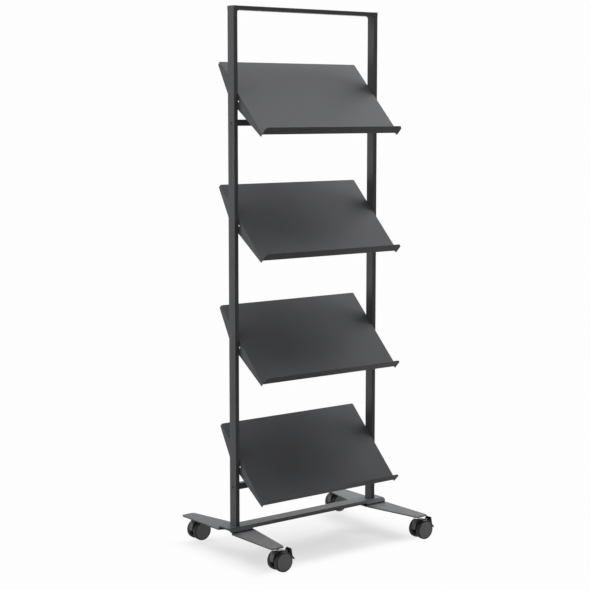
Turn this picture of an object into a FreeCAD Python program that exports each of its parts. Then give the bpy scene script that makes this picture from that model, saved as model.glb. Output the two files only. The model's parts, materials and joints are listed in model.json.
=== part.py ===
import FreeCAD, Part
import math
import os

# Mobile display rack for periodicals: a flat steel frame on two spread feet, four sloping
# shelves between the uprights, and a braked twin-wheel caster under each foot tip.
# Millimetres. The origin is on the floor under the middle of the rack, +X to the right,
# +Y to the back and +Z up. The shelves face -Y.

V = FreeCAD.Vector
same_place = 0.01           # places closer than this are taken as one

# Frame of rectangular tube
rack_width = 600.0          # over the outer faces of the uprights
rack_height = 1786.0        # floor to the top of the bow
tube_width = 15.0           # upright, along X
tube_depth = 35.0           # upright and bow, along Y
tube_wall = 1.5
tube_corner = 1.5           # outer edge radius of the tubes
bow_thickness = 13.0        # top bar of the bow, along Z
bow_leg = 40.0              # rack top down to the joint with the upright
bow_inner_radius = 10.0
spigot_length = 50.0        # joining piece inside the bow leg and the upright
slip_gap = 0.1              # between a piece and the tube that it slides into

# Shelves of folded sheet
shelf_count = 4
shelf_tilt = 45.0           # degrees, falling towards the front
shelf_length = 327.0        # along the slope, over both folds
shelf_sheet = 1.5
shelf_rear_y = 86.0         # rear edge behind the frame's middle plane
top_shelf_drop = 172.5      # rack top down to the rear edge of the highest shelf
bottom_shelf_height = 426.3  # floor up to the rear edge of the lowest shelf
shelf_side_gap = 0.2        # between a side flange and the upright
lip_height = 31.0           # above the shelf's surface
lip_corner_cut = 10.0
flange_end_depth = 10.0     # side flange at its front end, and the fold along the rear
flange_apex_depth = 46.0    # side flange at its deepest point
flange_apex_run = 128.5     # rear edge to the deepest point, along the slope
bend_radius = 2.0           # outer radius of the folds
shelf_corner_radius = 5.0   # rear corners, seen square to the shelf

# Fixing of the shelves
shelf_screw_radius = 2.5
shelf_screw_head_radius = 4.75
shelf_screw_head_height = 2.4
shelf_screw_depth = 20.0    # below the shelf's surface, square to it
shelf_screw_offset = 8.0    # in front of and behind the upright's middle
shelf_socket_radius = 1.5
shelf_socket_depth = 1.2
rivet_nut_radius = 3.5
rivet_nut_collar_radius = 4.5
rivet_nut_collar_length = 2.5
rivet_nut_length = 9.0
spare_hole_radius = 3.0
spare_hole_depth = 16.5     # below the shelf's surface, square to it
spare_hole_ahead = 1.5      # in front of the upright's front face
hole_gap = 0.3              # radial, a screw in a plain hole
thread_gap = 0.05           # radial, a screw in its thread

# Crossbars under the highest and the lowest shelf
crossbar_size = 20.0
crossbar_gap = 43.0         # flange's lower edge at the middle plane down to the bar
crossbar_plug_length = 20.0
crossbar_screw_radius = 2.5
crossbar_screw_head_radius = 4.25
crossbar_screw_head_height = 1.8
crossbar_screw_grip = 16.0  # inside the plug
crossbar_socket_radius = 1.5
crossbar_socket_depth = 1.2

# Feet, across the rack from the middle of the upright
foot_thickness = 4.0
foot_hub_inset = 51.5       # inwards to the inner edge where the arms leave the hub
foot_tip_inset = 9.0        # inwards to the inner edge at the tips
foot_outset = 41.0          # outwards to the outer edge of the arms
foot_waist_outset = 19.5    # outwards to the outer edge of the hub between the arms
foot_waist_y = 28.0
foot_shoulder_y = 40.0      # where the arms leave the hub
foot_length = 514.0         # over the tips
foot_tip_radius = 12.0

# Beam between the feet
beam_rise = 13.5            # foot plate up to the beam's top
beam_sheet = 4.0
beam_overhang = 35.0        # beyond the uprights' outer faces
beam_flat = 48.0            # flat top, along Y
beam_wing = 82.0            # over the skirts above the feet
beam_waist = 71.0           # over the slopes between the feet
beam_skirt = 5.0            # upright edge of the wings
beam_wing_inset = 44.5      # upright's middle inwards to where the wings begin
beam_end_cut = 7.0          # corners cut off the beam's ends
beam_slot_gap = 0.3         # around the uprights

# Screws through the feet
end_block_height = 25.0
foot_screw_radius = 3.0
foot_screw_head_radius = 5.25
foot_screw_head_height = 3.3
end_block_screw_y = 9.0
end_block_thread = 14.0     # screw length inside the end block
spacer_radius = 7.0
spacer_inset = 30.5         # upright's middle inwards
spacer_y = 12.0
foot_socket_radius = 2.1
foot_socket_depth = 1.65
screw_end_gap = 0.3         # between a screw's end and what it doesn't touch

# Casters
caster_height = 82.0        # floor to the foot's underside
caster_outset = 11.5        # upright's middle outwards to the swivel axis
caster_tip_inset = 28.5     # foot's tip to the swivel axis
caster_trail = 23.5         # swivel axis to the axle
wheel_diameter = 65.0
pair_width = 52.0           # over the outer faces of the two wheels
tyre_thickness = 3.5
tyre_edge_radius = 2.0
tyre_gap = 0.05             # radial, tyre on wheel
wheel_face = 2.5
wheel_rim = 2.5
wheel_hub_radius = 8.0
wheel_face_inset = 0.2      # wheel face behind the tyre's side
wheel_side_gap = 0.7        # housing to wheel
axle_radius = 3.0
axle_end_gap = 0.2
running_gap = 0.05          # radial, wheel on axle and lever on pin
fixed_gap = 0.02            # radial, axle and pin in the housing

# Swivel of a caster
weld_nut_flats = 17.0
weld_nut_height = 5.5
stem_thread_radius = 5.0
stem_flange_radius = 9.5
stem_flange_height = 4.0
stem_radius = 4.5
stem_gap = 0.08             # radial, stem in the barrel
stem_end_gap = 1.0          # below the stem, inside the barrel
stem_in_barrel = 24.0
swivel_gap = 0.3            # barrel to the stem's flange
ring_rise = 3.0             # stem's lower end up to its ring
ring_thickness = 1.2
ring_radius = 5.7
ring_groove_depth = 0.7
ring_gap = 0.3              # around the ring in the barrel's groove
barrel_radius = 8.0
barrel_length = 27.0

# Housing between the wheels
housing_half = 9.0          # half of the hood's width
hood_gap = 2.5              # hood's outer face outside the wheel radius
hood_thickness = 5.0
hood_from = 32.0            # degrees above the horizontal at the axle, trailing side
hood_to = 148.0
web_half = 4.0
boss_radius = 8.0
boss_side_gap = 0.7         # boss to wheel hub
nose_radius = 54.0          # of the hood's front, below the barrel
nose_reach = 10.6           # swivel axis forward to the hood's front
nose_rise = 5.5             # axle up to the middle of the nose's curve
nose_low = 2.0              # axle up to the hood's front end
shoulder_drop = 2.0         # barrel top down to the shoulder beside it
shoulder_angle = 96.0       # where the shoulder meets the hood, as hood_from is measured

# Brake lever
lever_pivot_angle = 50.0    # degrees above the horizontal at the axle
lever_pivot_inset = 0.6     # inside the wheel radius
lever_pin_radius = 1.5
lever_ear_radius = 5.5
lever_knuckle_radius = 4.5
lever_side_gap = 0.3        # lever to the slot's sides
lever_slot_radius = 13.0
lever_slot_half = 4.3
lever_plate = 3.0
lever_width = 24.0
lever_arm_half = 2.6
lever_angles = (45.4, 40.2, 16.6, -1.1)     # of the pedal's bends, at the axle, top to tip
lever_gaps = (18.1, 16.3, 9.5, 18.0)        # of the same bends, outside the wheel radius
lever_web = 2.5             # webs along the pedal's sides, above its lowest bend
lever_web_angles = (30.0, 44.0)             # of the corners along their lower edge
lever_web_gaps = (7.0, 8.0)                 # of the same corners, outside the wheel radius

# Worked out from the sizes above
upright_x = (rack_width - tube_width) / 2
inner_x = rack_width / 2 - tube_width
bow_joint = rack_height - bow_leg
foot_top = caster_height + foot_thickness
foot_hub_inner_x = upright_x - foot_hub_inset
foot_tip_inner_x = upright_x - foot_tip_inset
foot_outer_x = upright_x + foot_outset
foot_waist_x = upright_x + foot_waist_outset
beam_top = foot_top + beam_rise
beam_end_x = rack_width / 2 + beam_overhang
beam_wing_start_x = upright_x - beam_wing_inset
spacer_x = upright_x - spacer_inset
caster_x = upright_x + caster_outset
caster_y = foot_length / 2 - caster_tip_inset
shelf_half = inner_x - shelf_side_gap
shelf_pitch = (rack_height - top_shelf_drop - bottom_shelf_height) / (shelf_count - 1)
tilt_cos = math.cos(math.radians(shelf_tilt))
tilt_sin = math.sin(math.radians(shelf_tilt))
wheel_radius = wheel_diameter / 2
wheel_inner_y = housing_half + wheel_side_gap
wheel_face_y = pair_width / 2 - wheel_face_inset
tyre_inner_radius = wheel_radius - tyre_thickness
hood_radius = wheel_radius + hood_gap
weld_nut_bottom = caster_height - weld_nut_height
flange_bottom = weld_nut_bottom - stem_flange_height
barrel_top = flange_bottom - swivel_gap
axle_half = wheel_face_y - wheel_face - axle_end_gap


# Plain solids

def block(x0, x1, y0, y1, z0, z1):
    return Part.makeBox(x1 - x0, y1 - y0, z1 - z0, V(x0, y0, z0))


def rod_x(radius, x0, x1, y, z):
    return Part.makeCylinder(radius, x1 - x0, V(x0, y, z), V(1, 0, 0))


def rod_y(radius, y0, y1, x, z):
    return Part.makeCylinder(radius, y1 - y0, V(x, y0, z), V(0, 1, 0))


def rod_z(radius, z0, z1, x, y):
    return Part.makeCylinder(radius, z1 - z0, V(x, y, z0), V(0, 0, 1))


def hexagon_z(flats, z0, z1):
    corner = flats / math.sqrt(3)
    angles = [math.radians(60 * i) for i in range(7)]
    ring = [V(corner * math.cos(a), corner * math.sin(a), z0) for a in angles]
    return Part.Face(Part.makePolygon(ring)).extrude(V(0, 0, z1 - z0))


def slab_z(points, z0, z1):
    ring = [V(x, y, z0) for x, y in points]
    return Part.Face(Part.makePolygon(ring + ring[:1])).extrude(V(0, 0, z1 - z0))


def slab_x(points, x0, x1):
    ring = [V(x0, y, z) for y, z in points]
    return Part.Face(Part.makePolygon(ring + ring[:1])).extrude(V(x1 - x0, 0, 0))


def slab_y(points, y0, y1):
    ring = [V(x, y0, z) for x, z in points]
    return Part.Face(Part.makePolygon(ring + ring[:1])).extrude(V(0, y1 - y0, 0))


def edges_where(shape, test):
    return [edge for edge in shape.Edges if test(edge.BoundBox)]


def beside(points, distance):
    """Points at a distance to the left of an open line of straight runs."""
    normals = []
    for (u0, v0), (u1, v1) in zip(points, points[1:]):
        run = math.hypot(u1 - u0, v1 - v0)
        normals.append(((v0 - v1) / run, (u1 - u0) / run))
    moved = []
    for i, (u, v) in enumerate(points):
        before = normals[max(i - 1, 0)]
        after = normals[min(i, len(normals) - 1)]
        share = distance / (1 + before[0] * after[0] + before[1] * after[1])
        moved.append((u + share * (before[0] + after[0]), v + share * (before[1] + after[1])))
    return moved


def folded(points, thickness):
    """Outline of a sheet whose right face follows an open line."""
    return points + beside(points, thickness)[::-1]


def round_tube_edges(shape, direction, length):
    def long_edge(box):
        spans = {"x": box.XLength, "y": box.YLength, "z": box.ZLength}
        return spans[direction] > length - same_place
    return shape.makeFillet(tube_corner, edges_where(shape, long_edge))


# Frame

def upright(side):
    x = side * upright_x
    half_x = tube_width / 2
    half_y = tube_depth / 2
    tube = block(x - half_x, x + half_x, -half_y, half_y, foot_top, bow_joint)
    tube = round_tube_edges(tube, "z", bow_joint - foot_top)
    bore = block(x - half_x + tube_wall, x + half_x - tube_wall,
                 -half_y + tube_wall, half_y - tube_wall, foot_top, bow_joint)
    tube = tube.cut(bore)
    wall = sorted((side * inner_x, side * (inner_x + tube_wall)))
    for y, z in shelf_screw_places():
        tube = tube.cut(rod_x(rivet_nut_radius, wall[0], wall[1], y, z))
    for z in crossbar_heights():
        radius = crossbar_screw_radius + hole_gap
        tube = tube.cut(rod_x(radius, x - half_x, x + half_x, 0, z))
    return tube


def top_bow():
    half_x = rack_width / 2
    half_y = tube_depth / 2
    under = rack_height - bow_thickness
    bar = block(-half_x, half_x, -half_y, half_y, under, rack_height)
    bow = round_tube_edges(bar, "x", rack_width)
    for side in (-1, 1):
        x = side * upright_x
        leg = block(x - tube_width / 2, x + tube_width / 2, -half_y, half_y, bow_joint, rack_height)
        bow = bow.fuse(round_tube_edges(leg, "z", bow_leg))
        bow = bow.fuse(bow_corner(side, under))
    bow = bow.cut(block(-half_x + tube_wall, half_x - tube_wall, -half_y + tube_wall,
                        half_y - tube_wall, under + tube_wall, rack_height - tube_wall))
    for side in (-1, 1):
        x = side * upright_x
        bow = bow.cut(block(x - tube_width / 2 + tube_wall, x + tube_width / 2 - tube_wall,
                            -half_y + tube_wall, half_y - tube_wall,
                            bow_joint, under + tube_wall))
    return bow.removeSplitter()


def bow_corner(side, under):
    """The rounded inner corner between the bow's leg and its bar."""
    half_y = tube_depth / 2 - tube_corner
    far = side * (inner_x - bow_inner_radius)
    xs = sorted((side * inner_x, far))
    corner = block(xs[0], xs[1], -half_y, half_y, under - bow_inner_radius, under)
    return corner.cut(rod_y(bow_inner_radius, -half_y, half_y, far, under - bow_inner_radius))


def bow_spigots():
    half_x = tube_width / 2 - tube_wall - slip_gap
    half_y = tube_depth / 2 - tube_wall - slip_gap
    z0 = bow_joint - spigot_length / 2
    z1 = min(bow_joint + spigot_length / 2, rack_height - tube_wall - slip_gap)
    return Part.makeCompound([block(side * upright_x - half_x, side * upright_x + half_x,
                                    -half_y, half_y, z0, z1) for side in (-1, 1)])


# Shelves. A shelf is drawn level, its upper face at z = 0 and its rear edge at y = 0, and
# is then turned about its rear edge.

def slope_run(y, depth):
    """Distance from the rear edge along the slope of a point of the flange above y."""
    return (shelf_rear_y - y + depth * tilt_sin) / tilt_cos


def slope_place(run, depth, rear_z):
    y = shelf_rear_y - run * tilt_cos + depth * tilt_sin
    z = rear_z - run * tilt_sin - depth * tilt_cos
    return y, z


def shelf_rear_heights():
    top = rack_height - top_shelf_drop
    return [top - i * shelf_pitch for i in range(shelf_count)]


def shelf_screw_runs():
    return [slope_run(y, shelf_screw_depth) for y in (-shelf_screw_offset, shelf_screw_offset)]


def shelf_screw_places():
    """Y and Z of the shelf screws on one upright."""
    return [slope_place(run, shelf_screw_depth, rear_z)
            for rear_z in shelf_rear_heights() for run in shelf_screw_runs()]


def shelf(rear_z):
    front = -shelf_length
    lip = slab_x([(front, -shelf_sheet), (front, lip_height), (front + shelf_sheet, lip_height),
                  (front + shelf_sheet, -shelf_sheet)], -shelf_half, shelf_half)
    solid = shelf_pan().fuse(lip).removeSplitter().cut(front_fold_corner())
    for end in (-1, 1):
        tip = end * shelf_half
        solid = solid.cut(slab_y([(tip, lip_height), (tip - end * lip_corner_cut, lip_height),
                                  (tip, lip_height - lip_corner_cut)], front, front + shelf_sheet))
    holes = [(run, shelf_screw_depth, shelf_screw_radius + hole_gap) for run in shelf_screw_runs()]
    ahead = -tube_depth / 2 - spare_hole_ahead
    holes.append((slope_run(ahead, spare_hole_depth), spare_hole_depth, spare_hole_radius))
    for run, depth, radius in holes:
        for x in (-shelf_half, shelf_half - shelf_sheet):
            solid = solid.cut(rod_x(radius, x, x + shelf_sheet, -run, -depth))
    solid.rotate(V(0, 0, 0), V(1, 0, 0), shelf_tilt)
    solid.translate(V(0, shelf_rear_y, rear_z))
    return solid


def shelf_pan():
    """The deck with its side flanges and its rear fold, open below and at the front."""
    front = -shelf_length
    side = [(0, 0), (0, -flange_end_depth), (-flange_apex_run, -flange_apex_depth),
            (front, -flange_end_depth), (front, 0)]
    solid = slab_x(side, -shelf_half, shelf_half)
    solid = solid.makeFillet(shelf_corner_radius, rear_corners(solid, 0))
    top = edges_where(solid, lambda box: box.ZMin > -same_place
                      and box.YMax > front + same_place)
    solid = solid.makeFillet(bend_radius, top)
    half = shelf_half - shelf_sheet
    deep = -2 * flange_apex_depth
    room = block(-half, half, front - shelf_sheet, -shelf_sheet, deep, -shelf_sheet)
    room = room.makeFillet(shelf_corner_radius - shelf_sheet, rear_corners(room, -shelf_sheet))
    return solid.cut(room)


def rear_corners(shape, rear_y):
    """Upright edges along a shelf's rear."""
    return edges_where(shape, lambda box: box.YMin > rear_y - same_place
                       and box.XLength < same_place)


def front_fold_corner():
    """What the rounded fold under the lip takes off the sharp corner."""
    half = shelf_half - shelf_sheet
    y = -shelf_length
    z = -shelf_sheet
    corner = block(-half, half, y, y + bend_radius, z, z + bend_radius)
    return corner.cut(rod_x(bend_radius, -half, half, y + bend_radius, z + bend_radius))


def shelf_fixings():
    screws = []
    nuts = []
    for side in (-1, 1):
        for y, z in shelf_screw_places():
            screws.append(shelf_screw(side, y, z))
            nuts.append(rivet_nut(side, y, z))
    return Part.makeCompound(screws), Part.makeCompound(nuts)


def shelf_screw(side, y, z):
    seat = shelf_half - shelf_sheet
    head = rod_x(shelf_screw_head_radius, seat - shelf_screw_head_height, seat, 0, 0)
    shank = rod_x(shelf_screw_radius, seat, inner_x + rivet_nut_length, 0, 0)
    screw = head.fuse(shank)
    face = seat - shelf_screw_head_height
    socket = rod_x(shelf_socket_radius, face, face + shelf_socket_depth, 0, 0)
    return placed_on_side(screw.cut(socket), side, y, z)


def rivet_nut(side, y, z):
    back = inner_x + tube_wall
    nut = rod_x(rivet_nut_radius, inner_x, inner_x + rivet_nut_length, 0, 0)
    nut = nut.fuse(rod_x(rivet_nut_collar_radius, back, back + rivet_nut_collar_length, 0, 0))
    bore = rod_x(shelf_screw_radius + thread_gap, inner_x, inner_x + rivet_nut_length, 0, 0)
    return placed_on_side(nut.cut(bore), side, y, z)


def placed_on_side(shape, side, y, z):
    if side < 0:
        shape = shape.mirror(V(0, 0, 0), V(1, 0, 0))
    shape.translate(V(0, y, z))
    return shape


# Crossbars

def flange_depth_at_middle():
    """Depth of a side flange where its lower edge crosses the frame's middle plane."""
    start = shelf_rear_y / tilt_cos
    lean = tilt_sin / tilt_cos
    growth = flange_apex_depth - flange_end_depth
    rise = growth / flange_apex_run
    fall = growth / (shelf_length - flange_apex_run)
    behind_apex = (flange_end_depth + rise * start) / (1 - rise * lean)
    ahead_of_apex = (flange_end_depth + fall * (shelf_length - start)) / (1 + fall * lean)
    return min(behind_apex, ahead_of_apex)


def crossbar_heights():
    """Middle heights of the two bars."""
    depth = flange_depth_at_middle()
    rears = shelf_rear_heights()
    flange_low = slope_place(slope_run(0, depth), depth, 0)[1]
    below = flange_low - crossbar_gap - crossbar_size / 2
    return [rears[0] + below, rears[-1] + below]


def crossbar(z):
    half = crossbar_size / 2
    inner = half - tube_wall
    bar = block(-inner_x, inner_x, -half, half, z - half, z + half)
    bar = round_tube_edges(bar, "x", 2 * inner_x)
    return bar.cut(block(-inner_x, inner_x, -inner, inner, z - inner, z + inner))


def crossbar_plugs():
    half = crossbar_size / 2 - tube_wall - slip_gap
    plugs = []
    for z in crossbar_heights():
        for side in (-1, 1):
            plug = block(inner_x - crossbar_plug_length, inner_x, -half, half, -half, half)
            bore = rod_x(crossbar_screw_radius + thread_gap,
                         inner_x - crossbar_plug_length, inner_x, 0, 0)
            plugs.append(placed_on_side(plug.cut(bore), side, 0, z))
    return Part.makeCompound(plugs)


def crossbar_screws():
    seat = rack_width / 2
    screws = []
    for z in crossbar_heights():
        for side in (-1, 1):
            head = rod_x(crossbar_screw_head_radius, seat, seat + crossbar_screw_head_height, 0, 0)
            shank = rod_x(crossbar_screw_radius, inner_x - crossbar_screw_grip, seat, 0, 0)
            face = seat + crossbar_screw_head_height
            socket = rod_x(crossbar_socket_radius, face - crossbar_socket_depth, face, 0, 0)
            screws.append(placed_on_side(head.fuse(shank).cut(socket), side, 0, z))
    return Part.makeCompound(screws)


# Base

def foot(side):
    end = foot_length / 2
    right = [(foot_hub_inner_x, -foot_shoulder_y), (foot_tip_inner_x, -end), (foot_outer_x, -end),
             (foot_outer_x, -foot_shoulder_y), (foot_waist_x, -foot_waist_y)]
    outline = right + [(x, -y) for x, y in right[::-1]]
    plate = slab_z([(side * x, y) for x, y in outline], caster_height, foot_top)
    tips = edges_where(plate, lambda box: box.ZLength > foot_thickness - same_place
                       and min(abs(box.YMin), abs(box.YMax)) > end - same_place)
    plate = plate.makeFillet(foot_tip_radius, tips)
    for x, y in foot_screw_places(side):
        plate = plate.cut(rod_z(foot_screw_radius + hole_gap, caster_height, foot_top, x, y))
    return plate


def foot_screw_places(side):
    return upright_screw_places(side) + spacer_places(side)


def upright_screw_places(side):
    return [(side * upright_x, y) for y in (-end_block_screw_y, end_block_screw_y)]


def spacer_places(side):
    return [(side * spacer_x, y) for y in (-spacer_y, spacer_y)]


def beam_slopes(width):
    """The flat top and the slopes beside it, down to a given width, as an open line."""
    half = width / 2
    flat = beam_flat / 2
    fall = (beam_rise - beam_skirt) / (beam_wing - beam_flat)
    low = beam_top - fall * (width - beam_flat)
    return [(half, low), (flat, beam_top), (-flat, beam_top), (-half, low)]


def base_beam():
    end = beam_end_x
    beam = slab_x(folded(beam_slopes(beam_waist), beam_sheet),
                  -beam_wing_start_x, beam_wing_start_x)
    half = beam_wing / 2
    wing = folded([(half, foot_top)] + beam_slopes(beam_wing) + [(-half, foot_top)], beam_sheet)
    for side in (-1, 1):
        xs = sorted((side * beam_wing_start_x, side * end))
        beam = beam.fuse(slab_x(wing, xs[0], xs[1]))
    for side in (-1, 1):
        for front in (-1, 1):
            corner = [(side * end, front * half), (side * (end - beam_end_cut), front * half),
                      (side * end, front * (half - beam_end_cut))]
            beam = beam.cut(slab_z(corner, foot_top, beam_top))
        half_x = tube_width / 2 + beam_slot_gap
        half_y = tube_depth / 2 + beam_slot_gap
        x = side * upright_x
        beam = beam.cut(block(x - half_x, x + half_x, -half_y, half_y, foot_top, beam_top))
    return beam.removeSplitter()


def upright_end_blocks():
    half_x = tube_width / 2 - tube_wall - slip_gap
    half_y = tube_depth / 2 - tube_wall - slip_gap
    blocks = []
    for side in (-1, 1):
        x = side * upright_x
        solid = block(x - half_x, x + half_x, -half_y, half_y, foot_top, foot_top + end_block_height)
        for x, y in upright_screw_places(side):
            solid = solid.cut(rod_z(foot_screw_radius + thread_gap, foot_top,
                                    foot_top + end_block_height, x, y))
        blocks.append(solid)
    return Part.makeCompound(blocks)


def beam_spacers():
    under = beam_top - beam_sheet
    sleeves = []
    for side in (-1, 1):
        for x, y in spacer_places(side):
            sleeve = rod_z(spacer_radius, foot_top, under, x, y)
            sleeves.append(sleeve.cut(rod_z(foot_screw_radius + thread_gap, foot_top, under, x, y)))
    return Part.makeCompound(sleeves)


def foot_screws():
    screws = []
    for side in (-1, 1):
        for x, y in upright_screw_places(side):
            screws.append(foot_screw(x, y, foot_top + end_block_thread))
        for x, y in spacer_places(side):
            screws.append(foot_screw(x, y, beam_top - beam_sheet - screw_end_gap))
    return Part.makeCompound(screws)


def foot_screw(x, y, top):
    bottom = caster_height - foot_screw_head_height
    head = rod_z(foot_screw_head_radius, bottom, caster_height, x, y)
    socket = rod_z(foot_socket_radius, bottom, bottom + foot_socket_depth, x, y)
    return head.fuse(rod_z(foot_screw_radius, caster_height, top, x, y)).cut(socket)


# Casters, drawn with the swivel axis at x = 0, y = 0 and the wheels trailing to +X

def caster_places():
    return [("front_left", -caster_x, -caster_y), ("front_right", caster_x, -caster_y),
            ("rear_left", -caster_x, caster_y), ("rear_right", caster_x, caster_y)]


def at_axle(angle, radius):
    turn = math.radians(angle)
    return caster_trail + radius * math.cos(turn), wheel_radius + radius * math.sin(turn)


def weld_nut():
    nut = hexagon_z(weld_nut_flats, weld_nut_bottom, caster_height)
    return nut.cut(rod_z(stem_thread_radius + thread_gap, weld_nut_bottom, caster_height, 0, 0))


def stem_bottom():
    return barrel_top - stem_in_barrel


def stem():
    groove_bottom = stem_bottom() + ring_rise
    solid = rod_z(stem_radius, stem_bottom(), flange_bottom, 0, 0)
    groove = rod_z(stem_radius, groove_bottom, groove_bottom + ring_thickness, 0, 0)
    groove = groove.cut(rod_z(stem_radius - ring_groove_depth, groove_bottom,
                              groove_bottom + ring_thickness, 0, 0))
    flange = rod_z(stem_flange_radius, flange_bottom, weld_nut_bottom, 0, 0)
    thread = rod_z(stem_thread_radius, weld_nut_bottom, caster_height - screw_end_gap, 0, 0)
    return solid.cut(groove).fuse([flange, thread]).removeSplitter()


def retaining_ring():
    bottom = stem_bottom() + ring_rise
    ring = rod_z(ring_radius, bottom, bottom + ring_thickness, 0, 0)
    return ring.cut(rod_z(stem_radius - ring_groove_depth, bottom, bottom + ring_thickness, 0, 0))


def stem_cavity():
    """The room for the stem and its ring inside the barrel."""
    ring_bottom = stem_bottom() + ring_rise
    bore = rod_z(stem_radius + stem_gap, stem_bottom() - stem_end_gap, barrel_top, 0, 0)
    return bore.fuse(rod_z(ring_radius + ring_gap, ring_bottom - ring_gap,
                           ring_bottom + ring_thickness + ring_gap, 0, 0))


def hood_wedge(half):
    """The room above the axle that the hood and its web fill, out past the hood."""
    reach = 2 * hood_radius
    fan = [at_axle(hood_from, reach), at_axle(90, reach), at_axle(hood_to, reach)]
    return slab_y([at_axle(0, 0)] + fan, -half, half)


def nose():
    """The front of the hood, from the barrel down before the wheels' leading side."""
    centre = nose_radius - nose_reach
    front = rod_y(nose_radius, -housing_half, housing_half, centre, wheel_radius + nose_rise)
    front = front.common(block(-nose_reach, barrel_radius, -housing_half, housing_half,
                               wheel_radius + nose_low, barrel_top - shoulder_drop))
    return front.cut(rod_y(hood_radius - hood_thickness, -housing_half, housing_half,
                           *at_axle(0, 0)))


def shoulder():
    """The slope from the barrel back to the top of the hood."""
    top = barrel_top - shoulder_drop
    outline = [(0, top), (barrel_radius, top), at_axle(shoulder_angle, hood_radius),
               at_axle(shoulder_angle, hood_radius - hood_thickness), at_axle(hood_to, hood_radius)]
    return slab_y(outline, -housing_half, housing_half)


def housing():
    axle_x, axle_z = at_axle(0, 0)
    pivot_x, pivot_z = at_axle(lever_pivot_angle, wheel_radius - lever_pivot_inset)
    boss_half = wheel_inner_y - boss_side_gap
    hood_inner = hood_radius - hood_thickness
    hood = rod_y(hood_radius, -housing_half, housing_half, axle_x, axle_z)
    hood = hood.cut(rod_y(hood_inner, -housing_half, housing_half, axle_x, axle_z))
    hood = hood.common(hood_wedge(housing_half))
    web = rod_y(hood_inner, -web_half, web_half, axle_x, axle_z).common(hood_wedge(web_half))
    solid = hood.fuse([web, nose(), shoulder(),
                       rod_z(barrel_radius, barrel_top - barrel_length, barrel_top, 0, 0),
                       rod_y(boss_radius, -boss_half, boss_half, axle_x, axle_z),
                       rod_y(lever_ear_radius, -housing_half, housing_half, pivot_x, pivot_z)])
    solid = solid.cut(stem_cavity())
    solid = solid.cut(rod_y(lever_slot_radius, -lever_slot_half, lever_slot_half, pivot_x, pivot_z))
    solid = solid.cut(rod_y(lever_pin_radius + fixed_gap, -housing_half, housing_half,
                            pivot_x, pivot_z))
    solid = solid.cut(rod_y(axle_radius + fixed_gap, -boss_half, boss_half, axle_x, axle_z))
    return solid.removeSplitter()


def axle():
    return rod_y(axle_radius, -axle_half, axle_half, *at_axle(0, 0))


def wheel(side):
    """A dished wheel, open towards the housing and closed on its outer face."""
    x, z = at_axle(0, 0)
    inner = wheel_inner_y
    rim = tyre_inner_radius - tyre_gap
    face_back = wheel_face_y - wheel_face
    solid = rod_y(rim, inner, wheel_face_y, x, z)
    dish = rod_y(rim - wheel_rim, inner, face_back, x, z)
    solid = solid.cut(dish.cut(rod_y(wheel_hub_radius, inner, face_back, x, z)))
    solid = solid.cut(rod_y(axle_radius + running_gap, inner, face_back, x, z))
    return solid if side > 0 else solid.mirror(V(0, 0, 0), V(0, 1, 0))


def tyre(side):
    x, z = at_axle(0, 0)
    inner = wheel_inner_y
    outer = pair_width / 2
    solid = rod_y(wheel_radius, inner, outer, x, z)
    solid = solid.makeFillet(tyre_edge_radius, edges_where(solid, lambda box: box.YLength < same_place))
    solid = solid.cut(rod_y(tyre_inner_radius, inner, outer, x, z))
    return solid if side > 0 else solid.mirror(V(0, 0, 0), V(0, 1, 0))


def around_wheel(angles, gaps):
    return [at_axle(angle, wheel_radius + gap) for angle, gap in zip(angles, gaps)]


def brake_lever():
    pivot_x, pivot_z = at_axle(lever_pivot_angle, wheel_radius - lever_pivot_inset)
    knuckle_half = lever_slot_half - lever_side_gap
    half = lever_width / 2
    middle = around_wheel(lever_angles, lever_gaps)
    pedal = slab_y(folded(beside(middle, -lever_plate / 2), lever_plate), -half, half)
    web = middle[:3] + around_wheel(lever_web_angles, lever_web_gaps)
    reach_x, reach_z = middle[1]
    arm = [(pivot_x, pivot_z + lever_arm_half), (reach_x, reach_z + lever_arm_half),
           (reach_x, reach_z - lever_arm_half), (pivot_x, pivot_z - lever_arm_half)]
    lever = pedal.fuse([slab_y(web, -half, lever_web - half), slab_y(web, half - lever_web, half),
                        slab_y(arm, -knuckle_half, knuckle_half),
                        rod_y(lever_knuckle_radius, -knuckle_half, knuckle_half, pivot_x, pivot_z)])
    lever = lever.cut(rod_y(lever_pin_radius + running_gap, -knuckle_half, knuckle_half,
                            pivot_x, pivot_z))
    return lever.removeSplitter()


def lever_pin():
    x, z = at_axle(lever_pivot_angle, wheel_radius - lever_pivot_inset)
    return rod_y(lever_pin_radius, -housing_half, housing_half, x, z)


def at_each_caster(shape):
    copies = []
    for _, x, y in caster_places():
        copy = shape.copy()
        copy.translate(V(x, y, 0))
        copies.append(copy)
    return Part.makeCompound(copies)


def write(name, shape):
    shape.exportStep("parts/" + name + ".step")


def write_frame():
    for name, side in (("left", -1), ("right", 1)):
        write(name + "_upright", upright(side))
        write(name + "_foot", foot(side))
    write("top_bow", top_bow())
    write("bow_spigots", bow_spigots())
    for number, rear_z in enumerate(shelf_rear_heights(), 1):
        write("shelf_" + str(number), shelf(rear_z))
    screws, nuts = shelf_fixings()
    write("shelf_screws", screws)
    write("shelf_rivet_nuts", nuts)
    for name, z in zip(("upper", "lower"), crossbar_heights()):
        write(name + "_crossbar", crossbar(z))
    write("crossbar_plugs", crossbar_plugs())
    write("crossbar_screws", crossbar_screws())
    write("base_beam", base_beam())
    write("beam_spacers", beam_spacers())
    write("upright_end_blocks", upright_end_blocks())
    write("foot_screws", foot_screws())


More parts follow.
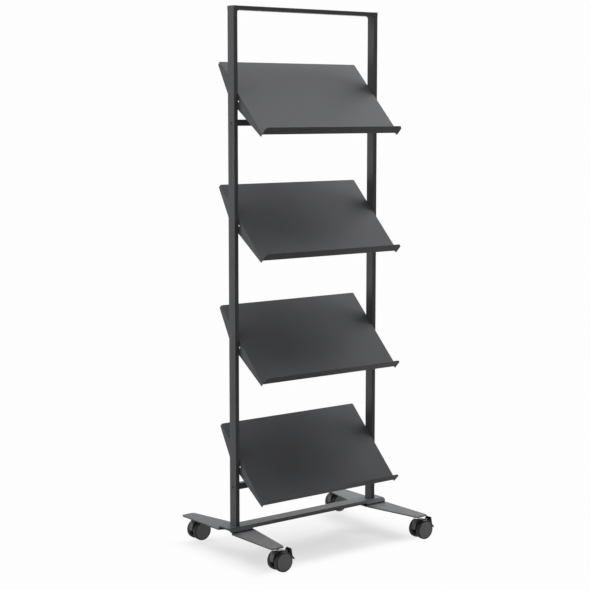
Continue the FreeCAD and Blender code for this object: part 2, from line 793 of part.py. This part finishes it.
def write_casters():
    write("caster_weld_nuts", at_each_caster(weld_nut()))
    write("stem_retaining_rings", at_each_caster(retaining_ring()))
    pieces = {"stem": stem(), "housing": housing(), "axle": axle(),
              "front_wheel": wheel(-1), "back_wheel": wheel(1),
              "front_tyre": tyre(-1), "back_tyre": tyre(1),
              "brake_lever": brake_lever(), "lever_pin": lever_pin()}
    for corner, x, y in caster_places():
        for name, shape in pieces.items():
            copy = shape.copy()
            copy.translate(V(x, y, 0))
            write(corner + "_caster_" + name, copy)


os.makedirs("parts", exist_ok=True)
write_frame()
write_casters()
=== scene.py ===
import bpy
import bmesh
import json
import math
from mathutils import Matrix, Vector


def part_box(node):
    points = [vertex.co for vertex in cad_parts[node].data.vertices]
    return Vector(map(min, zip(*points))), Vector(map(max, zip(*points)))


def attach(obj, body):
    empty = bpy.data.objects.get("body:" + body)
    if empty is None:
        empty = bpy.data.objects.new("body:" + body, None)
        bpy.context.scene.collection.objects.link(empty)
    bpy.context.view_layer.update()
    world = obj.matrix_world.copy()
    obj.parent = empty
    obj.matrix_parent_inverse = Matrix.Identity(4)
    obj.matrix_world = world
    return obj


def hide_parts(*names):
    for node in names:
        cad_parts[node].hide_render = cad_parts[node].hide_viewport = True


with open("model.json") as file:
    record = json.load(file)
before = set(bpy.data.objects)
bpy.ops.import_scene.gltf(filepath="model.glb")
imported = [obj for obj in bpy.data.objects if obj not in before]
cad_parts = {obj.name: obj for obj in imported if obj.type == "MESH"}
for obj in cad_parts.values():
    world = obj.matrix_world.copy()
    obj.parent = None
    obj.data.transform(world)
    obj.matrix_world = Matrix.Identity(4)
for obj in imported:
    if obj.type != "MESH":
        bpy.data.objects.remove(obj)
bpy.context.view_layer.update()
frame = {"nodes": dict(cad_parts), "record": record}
nodes = frame["nodes"]
mm = 0.001
weldDistance = 0.00001        # metres; corners closer than this are one corner


# materials: every number that is the same all over sits on the shader's own socket

noiseBand = (0.3, 0.7)        # the stretch of a noise's values that spans a whole range of tones


class Finish:
    def __init__(self, name, look):
        self.material = bpy.data.materials.new(name)
        self.material.use_nodes = True
        self.tree = self.material.node_tree
        self.shader = self.tree.nodes["Principled BSDF"]
        self.shader.inputs["Base Color"].default_value = (*look["colour"], 1)
        self.shader.inputs["Roughness"].default_value = look["evenRoughness"]
        self.shader.inputs["Metallic"].default_value = look["metallic"]
        self.shader.inputs["Specular IOR Level"].default_value = look["specular"]
        self.place = self.tree.nodes.new("ShaderNodeTexCoord").outputs["Object"]

    def noise(self, layer):
        place = self.place
        if "stretch" in layer:
            mapping = self.tree.nodes.new("ShaderNodeMapping")
            mapping.inputs["Scale"].default_value = layer["stretch"]
            self.tree.links.new(place, mapping.inputs["Vector"])
            place = mapping.outputs["Vector"]
        grain = self.tree.nodes.new("ShaderNodeTexNoise")
        grain.inputs["Scale"].default_value = 1 / layer["size"]
        grain.inputs["Detail"].default_value = layer["detail"]
        self.tree.links.new(place, grain.inputs["Vector"])
        return grain.outputs["Fac"]

    def tones(self, value, dark, light):
        ramp = self.tree.nodes.new("ShaderNodeValToRGB")
        for stop, position, colour in zip(ramp.color_ramp.elements, noiseBand, (dark, light)):
            stop.position = position
            stop.color = (*colour, 1)
        self.tree.links.new(value, ramp.inputs["Fac"])
        self.tree.links.new(ramp.outputs["Color"], self.shader.inputs["Base Color"])

    def rough(self, value, low, high):
        spread = self.tree.nodes.new("ShaderNodeMapRange")
        spread.inputs["From Min"].default_value = noiseBand[0]
        spread.inputs["From Max"].default_value = noiseBand[1]
        spread.inputs["To Min"].default_value = low
        spread.inputs["To Max"].default_value = high
        self.tree.links.new(value, spread.inputs["Value"])
        self.tree.links.new(spread.outputs["Result"], self.shader.inputs["Roughness"])

    def bumps(self, layers):
        normal = None
        for value, height in layers:
            bump = self.tree.nodes.new("ShaderNodeBump")
            bump.inputs["Strength"].default_value = 1.0
            bump.inputs["Distance"].default_value = height
            self.tree.links.new(value, bump.inputs["Height"])
            if normal:
                self.tree.links.new(normal, bump.inputs["Normal"])
            normal = bump.outputs["Normal"]
        self.tree.links.new(normal, self.shader.inputs["Normal"])


# a look's layers are noises with their grain size and height in metres;
# tones, gloss and relief name the layers that vary the colour, the roughness and the surface

powderCoat = {
    "colour": (0.143, 0.146, 0.152), "shade": (0.130, 0.133, 0.138), "evenRoughness": 0.55,
    "roughness": (0.5, 0.6), "metallic": 0.0, "specular": 0.12,
    "layers": {"cloud": {"size": 0.25, "detail": 4.0},
               "peel": {"size": 0.006, "detail": 1.0, "height": 0.00004},
               "grain": {"size": 0.0009, "detail": 3.0, "height": 0.00003}},
    "tones": "cloud", "gloss": "grain", "relief": ("peel", "grain")}
brightZinc = {
    "colour": (0.70, 0.71, 0.72), "shade": (0.60, 0.61, 0.63), "evenRoughness": 0.3,
    "roughness": (0.24, 0.4), "metallic": 1.0, "specular": 0.5,
    "layers": {"spangle": {"size": 0.003, "detail": 4.0},
               "fine": {"size": 0.0006, "detail": 2.0, "height": 0.00001}},
    "tones": "spangle", "gloss": "spangle", "relief": ("fine",)}
plainSteel = {
    "colour": (0.36, 0.36, 0.37), "shade": (0.29, 0.29, 0.30), "evenRoughness": 0.42,
    "roughness": (0.35, 0.5), "metallic": 1.0, "specular": 0.5,
    "layers": {"drawn": {"size": 0.0015, "detail": 3.0, "stretch": (1, 1, 0.08),
                         "height": 0.00001}},
    "tones": "drawn", "gloss": "drawn", "relief": ("drawn",)}
blackenedScrew = {
    "colour": (0.035, 0.036, 0.038), "shade": (0.024, 0.025, 0.027), "evenRoughness": 0.4,
    "roughness": (0.32, 0.45), "metallic": 0.6, "specular": 0.5,
    "layers": {"grain": {"size": 0.0012, "detail": 3.0, "height": 0.00001}},
    "tones": "grain", "gloss": "grain", "relief": ("grain",)}


def moulded(colour, shade, roughness, specular, flow, spark, height):
    return {
        "colour": colour, "shade": shade, "evenRoughness": roughness[0],
        "roughness": roughness, "metallic": 0.0, "specular": specular,
        "layers": {"flow": {"size": flow, "detail": 3.0},
                   "spark": {"size": spark, "detail": 2.0, "height": height}},
        "tones": "flow", "gloss": "spark", "relief": ("spark",)}


housingPlastic = moulded(
    colour=(0.076, 0.078, 0.082), shade=(0.066, 0.068, 0.071), roughness=(0.42, 0.55),
    specular=0.4, flow=0.02, spark=0.0007, height=0.00003)
wheelPlastic = moulded(
    colour=(0.188, 0.191, 0.196), shade=(0.170, 0.173, 0.179), roughness=(0.36, 0.46),
    specular=0.5, flow=0.02, spark=0.0006, height=0.00002)
treadRubber = moulded(
    colour=(0.029, 0.030, 0.032), shade=(0.022, 0.023, 0.024), roughness=(0.6, 0.75),
    specular=0.3, flow=0.008, spark=0.0005, height=0.00004)
leverPlastic = moulded(
    colour=(0.010, 0.010, 0.011), shade=(0.008, 0.008, 0.009), roughness=(0.42, 0.52),
    specular=0.18, flow=0.015, spark=0.0007, height=0.00002)


def makeFinish(name, look):
    finish = Finish(name, look)
    noises = {layer: finish.noise(form) for layer, form in look["layers"].items()}
    finish.tones(noises[look["tones"]], look["shade"], look["colour"])
    finish.rough(noises[look["gloss"]], *look["roughness"])
    finish.bumps([(noises[layer], look["layers"][layer]["height"]) for layer in look["relief"]])
    return finish.material


finishes = {
    "powder_coat": makeFinish("anthracitePowderCoat", powderCoat),
    "zinc": makeFinish("brightZinc", brightZinc),
    "raw_steel": makeFinish("plainSteel", plainSteel),
    "black_screw": makeFinish("blackenedScrew", blackenedScrew),
    "caster_plastic": makeFinish("housingPlastic", housingPlastic),
    "wheel_plastic": makeFinish("wheelPlastic", wheelPlastic),
    "tyre_rubber": makeFinish("treadRubber", treadRubber),
    "lever_plastic": makeFinish("leverPlastic", leverPlastic),
}
slotOf = {part["node"]: part["material_slot"] for part in frame["record"]["subparts"]}
print("finishes made:", ", ".join(finishes))


# the CAD pieces keep their shape; their sharp edges are eased as a coat or a mould does it

ease = {"tube": 0.5, "sheet": 0.3, "small": 0.2, "moulded": 0.7, "angle": 34, "beamAngle": 18,
        "steps": 2}
sheetNodes = ("shelf_1", "shelf_2", "shelf_3", "shelf_4", "left_foot", "right_foot", "base_beam")
tubeNodes = ("left_upright", "right_upright", "top_bow", "upper_crossbar", "lower_crossbar")


def easeWidth(name):
    if name in tubeNodes:
        return ease["tube"]
    if name in sheetNodes:
        return ease["sheet"]
    if name.endswith("_housing"):
        return ease["moulded"]
    return ease["small"]


def easeEdges(piece, width, angle):
    weld = piece.modifiers.new("weld", "WELD")
    weld.merge_threshold = weldDistance
    bevel = piece.modifiers.new("eased", "BEVEL")
    bevel.width = width * mm
    bevel.segments = ease["steps"]
    bevel.limit_method = "ANGLE"
    bevel.angle_limit = math.radians(angle)
    bevel.harden_normals = False
    normal = piece.modifiers.new("normals", "WEIGHTED_NORMAL")
    normal.keep_sharp = False


for name, piece in nodes.items():
    piece.data.materials.clear()
    piece.data.materials.append(finishes[slotOf[name]])
    # the beam's shallow folds are eased as well
    angle = ease["beamAngle"] if name == "base_beam" else ease["angle"]
    easeEdges(piece, easeWidth(name), angle)
print("CAD pieces finished")


# new pieces are drawn in millimetres about their own middle and placed where the CAD has them

sharpAngle = 38               # degrees; a new piece is shaded smooth across flatter edges


def rounded(points, steps=4):                     # each point has its own radius
    outline = []
    for i, (u, v, radius) in enumerate(points):
        if radius == 0:
            outline.append((u, v))
            continue
        corner = Vector((u, v))
        before = (Vector(points[i - 1][:2]) - corner).normalized()
        after = (Vector(points[(i + 1) % len(points)][:2]) - corner).normalized()
        half = before.angle(after) / 2
        reach = radius / math.tan(half)
        centre = corner + (before + after).normalized() * (radius / math.sin(half))
        start = corner + before * reach - centre
        end = corner + after * reach - centre
        for k in range(steps + 1):
            spoke = start.slerp(end, k / steps).normalized() * radius
            outline.append(tuple(centre + spoke))
    return outline


def turned(form, profile, steps, closed=False):   # a radius is a number or a function of the angle
    rings = []
    for radius, y in profile:
        angles = [2 * math.pi * i / steps for i in range(steps)]
        if radius == 0:
            angles = [0]
        reach = [radius(a) if callable(radius) else radius for a in angles]
        rings.append([form.verts.new((r * math.cos(a), y, r * math.sin(a)))
                      for r, a in zip(reach, angles)])
    following = rings[1:] + rings[:1] if closed else rings[1:]
    for ring, after in zip(rings, following):
        for i in range(steps):
            j = (i + 1) % steps
            corners = (ring[i % len(ring)], ring[j % len(ring)],
                       after[j % len(after)], after[i % len(after)])
            form.faces.new(list(dict.fromkeys(corners)))


def extruded(form, outline, y0, y1):
    near = [form.verts.new((x, y0, z)) for x, z in outline]
    far = [form.verts.new((x, y1, z)) for x, z in outline]
    form.faces.new(near)
    form.faces.new(far[::-1])
    for i in range(len(outline)):
        j = (i + 1) % len(outline)
        form.faces.new((near[j], near[i], far[i], far[j]))


def meshOf(name, form, slot, sharp=sharpAngle):
    bmesh.ops.recalc_face_normals(form, faces=form.faces)
    bmesh.ops.scale(form, vec=(mm, mm, mm), verts=form.verts)
    mesh = bpy.data.meshes.new(name)
    form.to_mesh(mesh)
    form.free()
    mesh.shade_smooth()
    mesh.set_sharp_from_angle(angle=math.radians(sharp))
    mesh.materials.append(finishes[slot])
    return mesh


def place(name, mesh, at, body, slot, *replaced, facing=None):
    piece = bpy.data.objects.new(name, mesh)
    bpy.context.scene.collection.objects.link(piece)
    piece.location = at
    if facing:
        piece.rotation_euler = Vector(facing).to_track_quat("-Y", "Z").to_euler()
    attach(piece, body)
    if replaced:
        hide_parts(*replaced)
    return piece


def middle(node):
    low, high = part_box(node)
    return (low + high) / 2


def span(node):
    low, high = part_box(node)
    return (high - low) / mm


# wheels: a closed outer face with a raised edge, ribs inside, and a crowned tread

wheelForm = {
    "steps": 96, "cap": 7.0, "recess": 0.3, "slope": 0.4, "slopeRadius": 0.2,
    "edgeRing": 1.9, "edge": 1.1, "backRadius": 0.4, "rim": 2.4, "rimRadius": 0.5,
    "face": 2.5, "dishRadius": 1.2, "hub": 8.0, "bore": 3.05, "boreRadius": 0.3,
    "ribs": 6, "ribWidth": 1.6, "ribDepth": 9.0, "ribSink": 0.5}
treadForm = {
    "steps": 96, "gap": 0.05, "groove": 0.35, "grooveHalf": 0.25, "grooveTop": 0.6,
    "grooveRadius": 0.1, "flatShare": 0.45, "crown": 0.3, "crownRadius": 4,
    "shoulder": 2.4, "sideStep": 0.4, "lip": 1.0, "lipRadius": 0.3}


def makeWheelMesh(node, outer):                   # outer: the side that its closed face looks to
    size = span(node)
    radius = size.x / 2
    width = size.y
    f = wheelForm
    outline = rounded([
        (0, 0, 0),
        (f["cap"], 0, f["slopeRadius"]),
        (f["cap"] + f["slope"], f["recess"], f["slopeRadius"]),
        (radius - f["edgeRing"] - f["slope"], f["recess"], f["slopeRadius"]),
        (radius - f["edgeRing"], 0, f["slopeRadius"]),
        (radius, 0, f["edge"]),
        (radius, width, f["backRadius"]),
        (radius - f["rim"], width, f["rimRadius"]),
        (radius - f["rim"], f["face"], f["dishRadius"]),
        (f["hub"], f["face"], f["dishRadius"]),
        (f["hub"], width, f["rimRadius"]),
        (f["bore"], width, f["boreRadius"]),
        (f["bore"], f["face"], 0),
        (0, f["face"], 0)])
    form = bmesh.new()
    turned(form, [(r, outer * (width / 2 - y)) for r, y in outline], f["steps"])
    for i in range(f["ribs"]):
        makeRib(form, 2 * math.pi * i / f["ribs"], radius, width, outer)
    return meshOf("casterWheel", form, "wheel_plastic")


def makeRib(form, angle, radius, width, outer):
    f = wheelForm
    along = Vector((math.cos(angle), 0, math.sin(angle)))
    across = Vector((-math.sin(angle), 0, math.cos(angle))) * (f["ribWidth"] / 2)
    reach = (f["hub"] - f["ribSink"], radius - f["rim"] + f["ribSink"])
    depths = (f["face"] - f["ribSink"], f["face"] + f["ribDepth"])
    spots = [along * r + across * side + Vector((0, outer * (width / 2 - y), 0))
             for y in depths for side in (-1, 1) for r in reach]
    verts = [form.verts.new(spot) for spot in spots]
    for quad in ((0, 1, 3, 2), (4, 5, 7, 6), (0, 1, 5, 4), (2, 3, 7, 6), (0, 2, 6, 4),
                 (1, 3, 7, 5)):
        form.faces.new([verts[k] for k in quad])


def makeTyreMesh(node, wheelNode):
    size = span(node)
    radius = size.x / 2
    half = size.y / 2
    f = treadForm
    inner = span(wheelNode).x / 2 + f["gap"]
    right = [
        (radius - f["groove"], f["grooveHalf"], 0),
        (radius, f["grooveTop"], f["grooveRadius"]),
        (radius, half * f["flatShare"], f["crownRadius"]),
        (radius - f["crown"], half, f["shoulder"]),
        (inner + f["lip"], half, f["lipRadius"]),
        (inner, half - f["sideStep"], 0)]
    points = right + [(r, -y, bend) for r, y, bend in right[::-1]]
    form = bmesh.new()
    turned(form, rounded(points), f["steps"], closed=True)
    return meshOf("casterTyre", form, "tyre_rubber")


# brake pedal: a bent plate with grip ribs on an arm that turns on the pin
# bends: angle about the axle, gap to the tyre, bend radius; webEdge: angle and gap
# webLeaves, armRun and gripRun count points of the bent line

pedal = {
    "bends": ((45.4, 18.1, 0), (40.2, 16.3, 2.2), (16.6, 9.5, 9.0), (-1.1, 18.0, 0)),
    "bendSteps": 6, "plate": 3.0, "width": 24.0, "edge": 0.9, "edgeSteps": 3, "edgeAngle": 50,
    "web": 2.5, "webEdge": ((30.0, 7.0), (44.0, 8.0)), "webLeaves": 4,
    "pin": (50.0, 0.6), "bore": 1.55, "boreEdge": 0.2, "knuckle": 4.5, "knuckleEdge": 0.5,
    "knuckleSteps": 40, "knuckleTurns": (60, 30, 0, -30, -60), "armHalf": 4.0, "armRun": (1, 5),
    "gripRibs": 4, "gripWidth": 18.0, "gripRadius": 0.7, "gripTaper": 0.7, "gripSteps": 16,
    "gripRun": (5, -2)}


def aroundAxle(angle, radius):
    turn = math.radians(angle)
    return radius * math.cos(turn), radius * math.sin(turn)


def besideLine(points, distance):
    moved = []
    for i, point in enumerate(points):
        before = Vector(points[max(i - 1, 0)])
        after = Vector(points[min(i + 1, len(points) - 1)])
        run = (after - before).normalized()
        moved.append((point[0] - run.y * distance, point[1] + run.x * distance))
    return moved


def pedalLine(wheelRadius):
    bends = [(*aroundAxle(angle, wheelRadius + gap), bend) for angle, gap, bend in pedal["bends"]]
    return rounded(bends, pedal["bendSteps"])


def makePedalMesh(wheelRadius):
    line = pedalLine(wheelRadius)
    outline = besideLine(line, pedal["plate"] / 2) + besideLine(line, -pedal["plate"] / 2)[::-1]
    web = line[:-pedal["webLeaves"]]
    web += [aroundAxle(angle, wheelRadius + gap) for angle, gap in pedal["webEdge"]]
    half = pedal["width"] / 2
    form = bmesh.new()
    extruded(form, outline, -half, half)
    extruded(form, web, -half, pedal["web"] - half)
    extruded(form, web, half - pedal["web"], half)
    return meshOf("brakePedal", form, "lever_plastic")


def makePedalArmMesh(wheelRadius):
    angle, inset = pedal["pin"]
    pinX, pinZ = aroundAxle(angle, wheelRadius - inset)
    half = pedal["armHalf"]
    form = bmesh.new()
    ring = rounded([(pedal["bore"], -half, pedal["boreEdge"]),
                    (pedal["knuckle"], -half, pedal["knuckleEdge"]),
                    (pedal["knuckle"], half, pedal["knuckleEdge"]),
                    (pedal["bore"], half, pedal["boreEdge"])])
    turned(form, ring, pedal["knuckleSteps"], closed=True)
    bmesh.ops.translate(form, vec=(pinX, 0, pinZ), verts=form.verts)
    top, low = (pedalLine(wheelRadius)[k] for k in pedal["armRun"])
    slope = math.atan2(top[1] - pinZ, top[0] - pinX)
    knuckle = [(pinX + pedal["knuckle"] * math.cos(slope + math.radians(turn)),
                pinZ + pedal["knuckle"] * math.sin(slope + math.radians(turn)))
               for turn in pedal["knuckleTurns"]]
    extruded(form, [top, *knuckle, low], -half, half)
    return meshOf("pedalArm", form, "lever_plastic")


def makeGripMesh(wheelRadius):
    face = besideLine(pedalLine(wheelRadius), pedal["plate"] / 2)
    first, last = (Vector(face[k]) for k in pedal["gripRun"])
    half = pedal["gripWidth"] / 2
    barrel = half - pedal["gripTaper"]
    form = bmesh.new()
    for i in range(pedal["gripRibs"]):
        spot = first.lerp(last, i / (pedal["gripRibs"] - 1))
        before = len(form.verts)
        turned(form, [(0, -half), (pedal["gripRadius"], -barrel), (pedal["gripRadius"], barrel),
                      (0, half)], pedal["gripSteps"])
        form.verts.ensure_lookup_table()
        bmesh.ops.translate(form, vec=(spot.x, 0, spot.y), verts=form.verts[before:])
    return meshOf("pedalGrip", form, "lever_plastic")


def roundPlate(piece):
    bevel = piece.modifiers.new("eased", "BEVEL")
    bevel.width = pedal["edge"] * mm
    bevel.segments = pedal["edgeSteps"]
    bevel.limit_method = "ANGLE"
    bevel.angle_limit = math.radians(pedal["edgeAngle"])


corners = ("front_left", "front_right", "rear_left", "rear_right")
wheelSides = {"front": -1, "back": 1}


def makeCasters():
    example = corners[0] + "_caster_"             # all four casters have the same meshes
    wheelRadius = span(example + "front_tyre").x / 2
    wheels = {side: makeWheelMesh(example + side + "_wheel", outer)
              for side, outer in wheelSides.items()}
    tyre = makeTyreMesh(example + "front_tyre", example + "front_wheel")
    plate = makePedalMesh(wheelRadius)
    arm = makePedalArmMesh(wheelRadius)
    grip = makeGripMesh(wheelRadius)
    for corner in corners:
        stem = corner + "_caster_"
        for side in wheelSides:
            body = corner + "_" + side + "_wheel"
            wheelNode = stem + side + "_wheel"
            tyreNode = stem + side + "_tyre"
            place(body + "_disc", wheels[side], middle(wheelNode), body, "wheel_plastic", wheelNode)
            place(body + "_tread", tyre, middle(tyreNode), body, "tyre_rubber", tyreNode)
        axle = middle(stem + "axle")
        body = corner + "_brake"
        lever = stem + "brake_lever"
        roundPlate(place(body + "_pedal", plate, axle, body, "lever_plastic", lever))
        place(body + "_arm", arm, axle, body, "lever_plastic", lever)
        place(body + "_grip", grip, axle, body, "lever_plastic", lever)
    print("casters made:", len(corners))


# screws: button heads with a hexagon socket, drawn from the head's top along the shank

screwForms = {
    "crossbar_screws": {"name": "crossbarScrew", "head": 4.25, "height": 1.8, "socket": 3.0,
                        "depth": 1.2, "shank": 2.5, "axis": "x", "outwards": 1},
    "shelf_screws": {"name": "shelfScrew", "head": 4.75, "height": 2.4, "socket": 3.0,
                     "depth": 1.3, "shank": 2.5, "axis": "x", "outwards": -1},
    "foot_screws": {"name": "footScrew", "head": 5.25, "height": 3.3, "socket": 4.0,
                    "depth": 1.9, "shank": 3.0, "axis": "z", "outwards": -1},
}
screwCut = {"steps": 48, "sharp": 30, "rimShare": 0.68, "domeShare": 0.7, "domeSteps": 6,
            "socketEdge": 0.15, "socketPoint": 0.4, "tip": 0.5}
placeDigits = 4               # metres; solids are put in order to a tenth of a millimetre
lengthDigits = 2              # millimetres; screws of the same length share a mesh


def solidsOf(node):
    form = bmesh.new()
    form.from_mesh(nodes[node].data)
    bmesh.ops.remove_doubles(form, verts=form.verts, dist=weldDistance)
    left = set(form.verts)
    boxes = []
    while left:
        group = [left.pop()]
        for vert in group:
            for edge in vert.link_edges:
                other = edge.other_vert(vert)
                if other in left:
                    left.remove(other)
                    group.append(other)
        low = Vector([min(vert.co[k] for vert in group) for k in range(3)])
        high = Vector([max(vert.co[k] for vert in group) for k in range(3)])
        boxes.append((low, high))
    form.free()
    return sorted(boxes, key=lambda box: tuple(round(value, placeDigits) for value in box[0]))


def makeScrewMesh(f, length, slot):
    sixth = math.pi / 3

    def hexagon(angle):
        return f["socket"] / 2 / math.cos((angle + sixth / 2) % sixth - sixth / 2)

    rim = f["socket"] * screwCut["rimShare"]
    turns = [t * math.pi / (2 * screwCut["domeSteps"]) for t in range(1, screwCut["domeSteps"] + 1)]
    dome = [(rim + (f["head"] - rim) * math.sin(turn),
             f["height"] * screwCut["domeShare"] * (1 - math.cos(turn))) for turn in turns]
    tip = screwCut["tip"]
    profile = [(0, f["depth"] + screwCut["socketPoint"]), (hexagon, f["depth"]),
               (hexagon, screwCut["socketEdge"]), (rim, 0), *dome, (f["head"], f["height"]),
               (f["shank"], f["height"]), (f["shank"], length - tip), (f["shank"] - tip, length),
               (0, length)]
    form = bmesh.new()
    turned(form, profile, screwCut["steps"])
    return meshOf(f["name"], form, slot, screwCut["sharp"])


def makeScrews():
    for node, f in screwForms.items():
        boxes = solidsOf(node)
        slot = slotOf[node]
        axis = "xyz".index(f["axis"])
        meshes = {}
        for number, (low, high) in enumerate(boxes, 1):
            length = round((high - low)[axis] / mm, lengthDigits)
            if length not in meshes:
                meshes[length] = makeScrewMesh(f, length, slot)
            at = (low + high) / 2
            side = f["outwards"]
            if f["axis"] == "x":
                side *= 1 if at.x > 0 else -1
            at[axis] += side * length * mm / 2
            facing = [0, 0, 0]
            facing[axis] = side
            place(f["name"] + "_" + str(number), meshes[length], at, "frame", slot, node,
                  facing=facing)
        print(f["name"], "made:", len(boxes))


makeCasters()
makeScrews()


# floor, backdrop and light

studio = {"floorReach": 14.0, "floorBounce": 0.35, "white": 0.985, "ambient": 0.12,
          "shadowDepth": 0.36, "shadowReach": (0.34, 0.21), "fadeFrom": 0.8, "fadeTo": 1.25}


def larger(tree, first, second):
    node = tree.nodes.new("ShaderNodeMath")
    node.operation = "MAXIMUM"
    tree.links.new(first, node.inputs[0])
    tree.links.new(second, node.inputs[1])
    return node.outputs[0]


def grey(tree, kind, level):
    node = tree.nodes.new(kind)
    node.inputs["Color"].default_value = (level, level, level, 1)
    return node


def mixed(tree, share, first, second):
    node = tree.nodes.new("ShaderNodeMixShader")
    tree.links.new(share, node.inputs["Fac"])
    tree.links.new(first.outputs[0], node.inputs[1])
    tree.links.new(second.outputs[0], node.inputs[2])
    return node


def seenDirectly(tree):
    # 1 where the camera looks, also by way of a gloss or through glass, and 0 for stray light
    rays = tree.nodes.new("ShaderNodeLightPath").outputs
    seen = larger(tree, rays["Is Camera Ray"], rays["Is Glossy Ray"])
    return larger(tree, seen, rays["Is Transmission Ray"])


def shadowShare(tree):
    # the floor takes shadow around the feet and is plain white further out
    place = tree.nodes.new("ShaderNodeTexCoord")
    scaled = tree.nodes.new("ShaderNodeVectorMath")
    scaled.operation = "DIVIDE"
    scaled.inputs[1].default_value = (*studio["shadowReach"], 1)
    outward = tree.nodes.new("ShaderNodeVectorMath")
    outward.operation = "ABSOLUTE"
    split = tree.nodes.new("ShaderNodeSeparateXYZ")
    share = tree.nodes.new("ShaderNodeMapRange")
    share.interpolation_type = "SMOOTHSTEP"
    share.inputs["From Min"].default_value = studio["fadeFrom"]
    share.inputs["From Max"].default_value = studio["fadeTo"]
    share.inputs["To Min"].default_value = studio["shadowDepth"]
    share.inputs["To Max"].default_value = 0
    tree.links.new(place.outputs["Object"], scaled.inputs[0])
    tree.links.new(scaled.outputs["Vector"], outward.inputs[0])
    tree.links.new(outward.outputs["Vector"], split.inputs[0])
    furthest = larger(tree, split.outputs["X"], split.outputs["Y"])
    tree.links.new(furthest, share.inputs["Value"])
    return share.outputs["Result"]


def makeFloor():
    reach = studio["floorReach"]
    mesh = bpy.data.meshes.new("studioFloor")
    outline = [(-reach, -reach, 0), (reach, -reach, 0), (reach, reach, 0), (-reach, reach, 0)]
    mesh.from_pydata(outline, [], [(0, 1, 2, 3)])
    floor = bpy.data.objects.new("studioFloor", mesh)
    bpy.context.scene.collection.objects.link(floor)
    material = bpy.data.materials.new("paleFloor")
    material.use_nodes = True
    tree = material.node_tree
    tree.nodes.clear()
    output = tree.nodes.new("ShaderNodeOutputMaterial")
    lit = grey(tree, "ShaderNodeBsdfDiffuse", 1)
    bounce = grey(tree, "ShaderNodeBsdfDiffuse", studio["floorBounce"])
    white = grey(tree, "ShaderNodeEmission", studio["white"])
    seen = mixed(tree, shadowShare(tree), white, lit)
    both = mixed(tree, seenDirectly(tree), bounce, seen)
    tree.links.new(both.outputs[0], output.inputs["Surface"])
    mesh.materials.append(material)


def makeBackdrop():
    world = bpy.data.worlds.new("paleRoom")
    world.use_nodes = True
    bpy.context.scene.world = world
    tree = world.node_tree
    tree.nodes.clear()
    output = tree.nodes.new("ShaderNodeOutputWorld")
    dim = grey(tree, "ShaderNodeBackground", 1)
    dim.inputs["Strength"].default_value = studio["ambient"]
    white = grey(tree, "ShaderNodeBackground", 1)
    white.inputs["Strength"].default_value = studio["white"]
    both = mixed(tree, seenDirectly(tree), dim, white)
    tree.links.new(both.outputs[0], output.inputs["Surface"])


lamps = {
    "overhead": {"at": (0, 0, 4.4), "aim": (0, 0, 0.9), "size": (2.6, 2.6), "watts": 14},
    "backOverhead": {"at": (0, 2.2, 4.2), "aim": (0, 0, 0.9), "size": (2.6, 2.0), "watts": 43},
    "rightOverhead": {"at": (2.4, 0, 4.2), "aim": (0, 0, 0.9), "size": (2.0, 2.6), "watts": 82},
    "leftOverhead": {"at": (-2.2, 0.4, 4.2), "aim": (0, 0, 0.9), "size": (2.0, 2.6), "watts": 32},
    "leftSoftbox": {"at": (-3.4, 2.8, 0.9), "aim": (0, 0, 0.9), "size": (2.4, 1.8), "watts": 46},
    "backSoftbox": {"at": (3.2, 3.2, 2.2), "aim": (0, 0, 1.0), "size": (2.4, 3.0), "watts": 53},
}


def makeLamps():
    for name, lamp in lamps.items():
        light = bpy.data.lights.new(name, "AREA")
        light.shape = "RECTANGLE"
        light.size, light.size_y = lamp["size"]
        light.energy = lamp["watts"]
        holder = bpy.data.objects.new(name, light)
        holder.location = lamp["at"]
        aim = Vector(lamp["aim"]) - Vector(lamp["at"])
        holder.rotation_euler = aim.to_track_quat("-Z", "Y").to_euler()
        bpy.context.scene.collection.objects.link(holder)


makeFloor()
makeBackdrop()
makeLamps()
print("studio lit")


stand = {"location": (-3.11325, -3.94820, 1.4616), "tilt": 82.977, "turn": -37.882, "lens": 92.15,
         "sensor": 36, "sight": 100}


def makeCamera():
    data = bpy.data.cameras.new("rackCamera")
    data.lens = stand["lens"]
    data.sensor_width = stand["sensor"]
    data.clip_end = stand["sight"]
    camera = bpy.data.objects.new("rackCamera", data)
    camera.location = stand["location"]
    camera.rotation_euler = (math.radians(stand["tilt"]), 0, math.radians(stand["turn"]))
    bpy.context.scene.collection.objects.link(camera)
    bpy.context.scene.camera = camera


makeCamera()
bpy.context.scene.view_settings.view_transform = "Standard"
print("camera placed")
